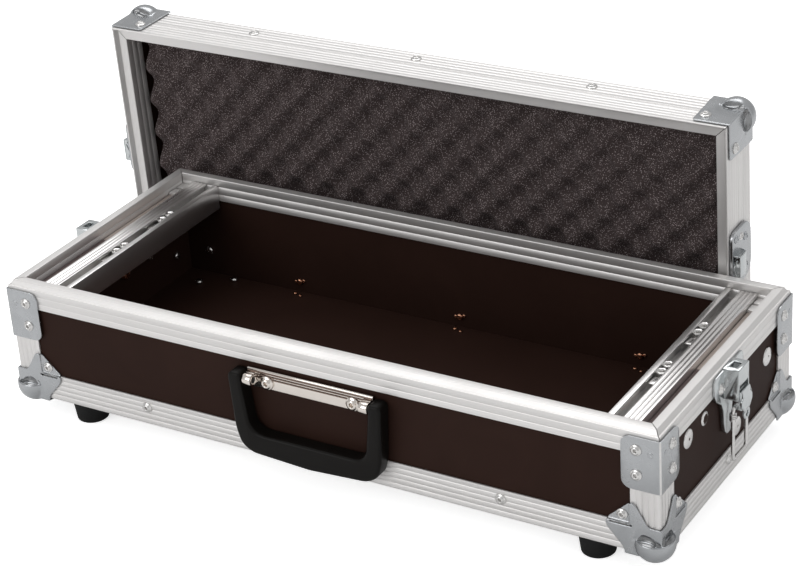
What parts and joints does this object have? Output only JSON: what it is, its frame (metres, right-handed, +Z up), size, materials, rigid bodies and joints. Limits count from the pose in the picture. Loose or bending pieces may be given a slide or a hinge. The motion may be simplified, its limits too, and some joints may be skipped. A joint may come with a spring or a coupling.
{
  "type": "lighting desk case",
  "caption": "Shallow plywood flight case for a rack-width lighting desk: open tray with aluminium edging, rack rails, drop handle and draw latches; foam-lined lift-off lid stands behind.",
  "frame": {"origin": "centre of the tray floor panel's underside", "axes": "+X to the right along the long side as seen from the handle, +Y from the handle side to the back, +Z up"},
  "size_m": [0.6129, 0.29, 0.239],
  "materials": {
    "plywood": "film-faced, satin, dark brown",
    "aluminium": "mill-finish extrusion, ribbed",
    "zinc": "bright zinc plate",
    "nickel": "bright nickel plate",
    "rubber": "matte black",
    "grip": "moulded black, fine grain",
    "packing": "brown hardboard, matte",
    "foam": "open-cell foam, dark grey"
  },
  "bodies": {
    "tray": {"front_panel": "plywood", "back_panel": "plywood", "left_panel": "plywood", "right_panel": "plywood", "bottom_panel": "plywood", "bottom_edge_front": "aluminium", "bottom_edge_right": "aluminium", "bottom_edge_back": "aluminium", "bottom_edge_left": "aluminium", "rim_front": "aluminium", "rim_right": "aluminium", "rim_back": "aluminium", "rim_left": "aluminium", "corner_edge_front_left": "aluminium", "corner_edge_front_right": "aluminium", "corner_edge_back_right": "aluminium", "corner_edge_back_left": "aluminium", "rack_rail_left": "aluminium", "rack_rail_right": "aluminium", "corner_bracket_front_left": "zinc", "corner_bracket_front_right": "zinc", "corner_bracket_back_right": "zinc", "corner_bracket_back_left": "zinc", "ball_corner_front_left": "zinc", "ball_corner_front_right": "zinc", "ball_corner_back_right": "zinc", "ball_corner_back_left": "zinc", "latch_base_left": "zinc", "latch_base_right": "zinc", "foot_front_left": "rubber", "foot_front_right": "rubber", "foot_back_right": "rubber", "foot_back_left": "rubber", "rail_packer_left": "packing", "rail_packer_right": "packing", "handle_plate": "nickel"},
    "lid": {"lid_side_frame": "plywood", "lid_cover": "plywood", "lid_edge_front": "aluminium", "lid_edge_right": "aluminium", "lid_edge_back": "aluminium", "lid_edge_left": "aluminium", "lid_rim_front": "aluminium", "lid_rim_right": "aluminium", "lid_rim_back": "aluminium", "lid_rim_left": "aluminium", "lid_ball_corner_front_left": "zinc", "lid_ball_corner_front_right": "zinc", "lid_ball_corner_back_right": "zinc", "lid_ball_corner_back_left": "zinc", "keeper_left": "zinc", "keeper_right": "zinc", "foam_lining": "foam"},
    "handle": {"handle_grip": "grip"},
    "lever_left": {"latch_lever_left": "zinc"},
    "bail_left": {"latch_bail_left": "zinc"},
    "lever_right": {"latch_lever_right": "zinc"},
    "bail_right": {"latch_bail_right": "zinc"}
  },
  "joints": [
    {"name": "lid_lift", "type": "slide", "parent": "tray", "child": "lid", "axis": [0, 0.5, 0.866], "range_m": [0, 0.14]},
    {"name": "handle_swing", "type": "hinge", "parent": "tray", "child": "handle", "pos_m": [0, -0.1185, 0.0642], "axis": [-1, 0, 0], "range_deg": [0, 95]},
    {"name": "lever_swing_left", "type": "hinge", "parent": "tray", "child": "lever_left", "pos_m": [-0.2795, -0.003, 0.0722], "axis": [0, 1, 0], "range_deg": [0, 95]},
    {"name": "bail_swing_left", "type": "hinge", "parent": "lever_left", "child": "bail_left", "pos_m": [-0.2795, -0.003, 0.0632], "axis": [0, 1, 0], "range_deg": [-5, 85]},
    {"name": "lever_swing_right", "type": "hinge", "parent": "tray", "child": "lever_right", "pos_m": [0.2795, -0.003, 0.0722], "axis": [0, -1, 0], "range_deg": [0, 95]},
    {"name": "bail_swing_right", "type": "hinge", "parent": "lever_right", "child": "bail_right", "pos_m": [0.2795, -0.003, 0.0632], "axis": [0, -1, 0], "range_deg": [-5, 85]}
  ]
}
